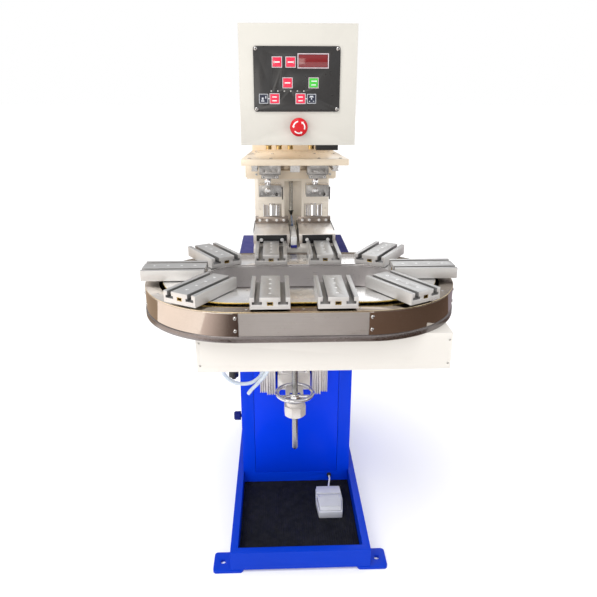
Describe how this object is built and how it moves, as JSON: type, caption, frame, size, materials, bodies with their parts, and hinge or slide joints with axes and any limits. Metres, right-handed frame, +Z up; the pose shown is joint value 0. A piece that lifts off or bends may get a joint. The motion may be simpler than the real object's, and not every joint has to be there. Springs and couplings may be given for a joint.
{
  "type": "oval-conveyor pad printing machine",
  "caption": "Free-standing two-station pad printer: pedestal column, height-adjustable oval carousel of T-slot work plates, print head and control box.",
  "frame": {"origin": "centre of the base outline, on the floor", "axes": "+Z up, -Y towards the operator and the front of the machine, +X to the operator's right"},
  "size_m": [0.702, 0.853, 1.2856],
  "materials": {
    "blue_paint": "gloss powder coat, royal blue",
    "blue_panel": "gloss powder coat, royal blue",
    "latch_blue": "moulded knob, dark blue",
    "rubber_mat": "ribbed black mat",
    "black_plastic": "moulded black",
    "rail_aluminium": "extruded and milled",
    "machined_steel": "machined",
    "grey_plastic": "moulded light grey",
    "white_cord": "thin lead",
    "ivory_paint": "satin ivory",
    "stainless": "polished sheet",
    "beige_plate": "plate with a warm reflection",
    "panel_film": "printed membrane",
    "brass": "turned",
    "chrome": "polished",
    "plate_aluminium": "milled plate",
    "skirt_aluminium": "satin sheet",
    "mirror_stainless": "mirror sheet",
    "ring_steel": "brushed",
    "plate_bright": "bright rolled",
    "chain_steel": "oiled",
    "dark_metal": "satin black",
    "clear_hose": "pale blue tube",
    "red_plastic": "moulded red",
    "jig_aluminium": "anodised",
    "red_key": "key cap",
    "green_key": "key cap"
  },
  "bodies": {
    "root": {"base_frame": "blue_paint", "foot_mat": "rubber_mat", "column_shell": "blue_paint", "column_front_panel": "blue_panel", "air_filter": "black_plastic", "lift_rails": "rail_aluminium", "lift_bracket": "machined_steel", "footswitch_base": "grey_plastic", "footswitch_cord": "white_cord", "head_base": "ivory_paint", "head_frame": "ivory_paint", "cliche_trays": "stainless", "clamp_strips": "black_plastic", "carriage_rails": "machined_steel", "top_plate": "beige_plate", "box_bracket": "beige_plate", "control_box": "ivory_paint", "control_panel": "panel_film", "estop_collar": "black_plastic", "cable_glands": "brass"},
    "table": {"lift_carriage": "rail_aluminium", "lift_screw": "chrome", "drive_box": "ivory_paint", "base_plate": "plate_aluminium", "skirt_panels": "skirt_aluminium", "skirt_bands": "mirror_stainless", "pit_wall": "stainless", "outer_ring": "ring_steel", "inner_plate": "plate_bright", "skirt_screws": "chrome", "conveyor_chain": "chain_steel", "drive_motor": "dark_metal", "air_hose": "clear_hose"},
    "rear_door": {"rear_door": "blue_panel"},
    "side_latch": {"side_latch": "latch_blue"},
    "handwheel": {"handwheel": "chrome", "handwheel_nut": "machined_steel"},
    "drive_sprocket": {"drive_sprocket": "chain_steel"},
    "footswitch_pedal": {"footswitch_pedal": "grey_plastic"},
    "estop_button": {"estop_button": "red_plastic"},
    "head_carriage": {"head_carriage": "rail_aluminium", "ink_cups": "chrome"},
    "pad_slide_left": {"pad_slide_left": "jig_aluminium"},
    "pad_slide_right": {"pad_slide_right": "jig_aluminium"},
    "jig_01": {"jig_01": "jig_aluminium"},
    "jig_02": {"jig_02": "jig_aluminium"},
    "jig_03": {"jig_03": "jig_aluminium"},
    "jig_04": {"jig_04": "jig_aluminium"},
    "jig_05": {"jig_05": "jig_aluminium"},
    "jig_06": {"jig_06": "jig_aluminium"},
    "jig_07": {"jig_07": "jig_aluminium"},
    "jig_08": {"jig_08": "jig_aluminium"},
    "jig_09": {"jig_09": "jig_aluminium"},
    "jig_10": {"jig_10": "jig_aluminium"},
    "key_1": {"key_1": "red_key"},
    "key_2": {"key_2": "red_key"},
    "key_3": {"key_3": "red_key"},
    "key_4": {"key_4": "red_key"},
    "key_5": {"key_5": "red_key"},
    "key_6": {"key_6": "green_key"}
  },
  "joints": [
    {"name": "table_lift", "type": "slide", "parent": "root", "child": "table", "axis": [0, 0, 1], "range_m": [-0.05, 0.01]},
    {"name": "handwheel_turn", "type": "hinge", "parent": "root", "child": "handwheel", "pos_m": [-0.008, -0.17, 0.39], "axis": [0, 0, 1], "range_deg": [-4500, 900]},
    {"name": "conveyor_index", "type": "slide", "parent": "table", "child": "jig_01", "axis": [-1, 0, 0], "range_m": [-0.0624, 0.0624]},
    {"name": "jig_10_travel", "type": "slide", "parent": "table", "child": "jig_10", "axis": [-1, 0, 0], "range_m": [-0.0624, 0.0624]},
    {"name": "jig_05_travel", "type": "slide", "parent": "table", "child": "jig_05", "axis": [1, 0, 0], "range_m": [-0.0624, 0.0624]},
    {"name": "jig_06_travel", "type": "slide", "parent": "table", "child": "jig_06", "axis": [1, 0, 0], "range_m": [-0.0624, 0.0624]},
    {"name": "jig_02_turn", "type": "hinge", "parent": "table", "child": "jig_02", "pos_m": [-0.128, -0.26, 0.76], "axis": [0, 0, 1], "range_deg": [-28.15, 28.15]},
    {"name": "jig_03_turn", "type": "hinge", "parent": "table", "child": "jig_03", "pos_m": [-0.128, -0.26, 0.76], "axis": [0, 0, 1], "range_deg": [-28.15, 28.15]},
    {"name": "jig_04_turn", "type": "hinge", "parent": "table", "child": "jig_04", "pos_m": [-0.128, -0.26, 0.76], "axis": [0, 0, 1], "range_deg": [-28.15, 28.15]},
    {"name": "jig_07_turn", "type": "hinge", "parent": "table", "child": "jig_07", "pos_m": [0.128, -0.26, 0.76], "axis": [0, 0, 1], "range_deg": [-28.15, 28.15]},
    {"name": "jig_08_turn", "type": "hinge", "parent": "table", "child": "jig_08", "pos_m": [0.128, -0.26, 0.76], "axis": [0, 0, 1], "range_deg": [-28.15, 28.15]},
    {"name": "jig_09_turn", "type": "hinge", "parent": "table", "child": "jig_09", "pos_m": [0.128, -0.26, 0.76], "axis": [0, 0, 1], "range_deg": [-28.15, 28.15]},
    {"name": "sprocket_spin", "type": "hinge", "parent": "table", "child": "drive_sprocket", "pos_m": [0.23973, -0.14827, 0.71], "axis": [0, 0, 1], "range_deg": [-115.34, 115.34]},
    {"name": "rear_door_hinge", "type": "hinge", "parent": "root", "child": "rear_door", "pos_m": [-0.15, 0.349, 0.34], "axis": [0, 0, 1], "range_deg": [0, 110]},
    {"name": "side_latch_turn", "type": "hinge", "parent": "root", "child": "side_latch", "pos_m": [-0.17, -0.022, 0.246], "axis": [1, 0, 0], "range_deg": [0, 90]},
    {"name": "footswitch_press", "type": "hinge", "parent": "root", "child": "footswitch_pedal", "pos_m": [0.091, -0.141, 0.0395], "axis": [1, 0, 0], "range_deg": [0, 5], "stiffness_Nm_per_rad": 3, "springref_deg": -4.58},
    {"name": "estop_press", "type": "slide", "parent": "root", "child": "estop_button", "axis": [0, 1, 0], "range_m": [0, 0.004], "stiffness_N_per_m": 1200, "springref_m": -0.002},
    {"name": "key_1_press", "type": "slide", "parent": "root", "child": "key_1", "axis": [0, 1, 0], "range_m": [0, 0.001], "stiffness_N_per_m": 400, "springref_m": -0.001},
    {"name": "key_2_press", "type": "slide", "parent": "root", "child": "key_2", "axis": [0, 1, 0], "range_m": [0, 0.001], "stiffness_N_per_m": 400, "springref_m": -0.001},
    {"name": "key_3_press", "type": "slide", "parent": "root", "child": "key_3", "axis": [0, 1, 0], "range_m": [0, 0.001], "stiffness_N_per_m": 400, "springref_m": -0.001},
    {"name": "key_4_press", "type": "slide", "parent": "root", "child": "key_4", "axis": [0, 1, 0], "range_m": [0, 0.001], "stiffness_N_per_m": 400, "springref_m": -0.001},
    {"name": "key_5_press", "type": "slide", "parent": "root", "child": "key_5", "axis": [0, 1, 0], "range_m": [0, 0.001], "stiffness_N_per_m": 400, "springref_m": -0.001},
    {"name": "key_6_press", "type": "slide", "parent": "root", "child": "key_6", "axis": [0, 1, 0], "range_m": [0, 0.001], "stiffness_N_per_m": 400, "springref_m": -0.001},
    {"name": "carriage_travel", "type": "slide", "parent": "root", "child": "head_carriage", "axis": [0, -1, 0], "range_m": [0, 0.155]},
    {"name": "pad_stroke_left", "type": "slide", "parent": "head_carriage", "child": "pad_slide_left", "axis": [0, 0, -1], "range_m": [0, 0.05]},
    {"name": "pad_stroke_right", "type": "slide", "parent": "head_carriage", "child": "pad_slide_right", "axis": [0, 0, -1], "range_m": [0, 0.05]}
  ],
  "couplings": [
    {"joint": "handwheel_turn", "follows": "table_lift", "rad_per_m": 1570.8},
    {"joint": "jig_10_travel", "follows": "conveyor_index", "ratio": 1},
    {"joint": "jig_05_travel", "follows": "conveyor_index", "ratio": 1},
    {"joint": "jig_06_travel", "follows": "conveyor_index", "ratio": 1},
    {"joint": "jig_02_turn", "follows": "conveyor_index", "rad_per_m": -7.8737},
    {"joint": "jig_03_turn", "follows": "conveyor_index", "rad_per_m": -7.8737},
    {"joint": "jig_04_turn", "follows": "conveyor_index", "rad_per_m": -7.8737},
    {"joint": "jig_07_turn", "follows": "conveyor_index", "rad_per_m": -7.8737},
    {"joint": "jig_08_turn", "follows": "conveyor_index", "rad_per_m": -7.8737},
    {"joint": "jig_09_turn", "follows": "conveyor_index", "rad_per_m": -7.8737},
    {"joint": "sprocket_spin", "follows": "conveyor_index", "rad_per_m": 32.258}
  ]
}
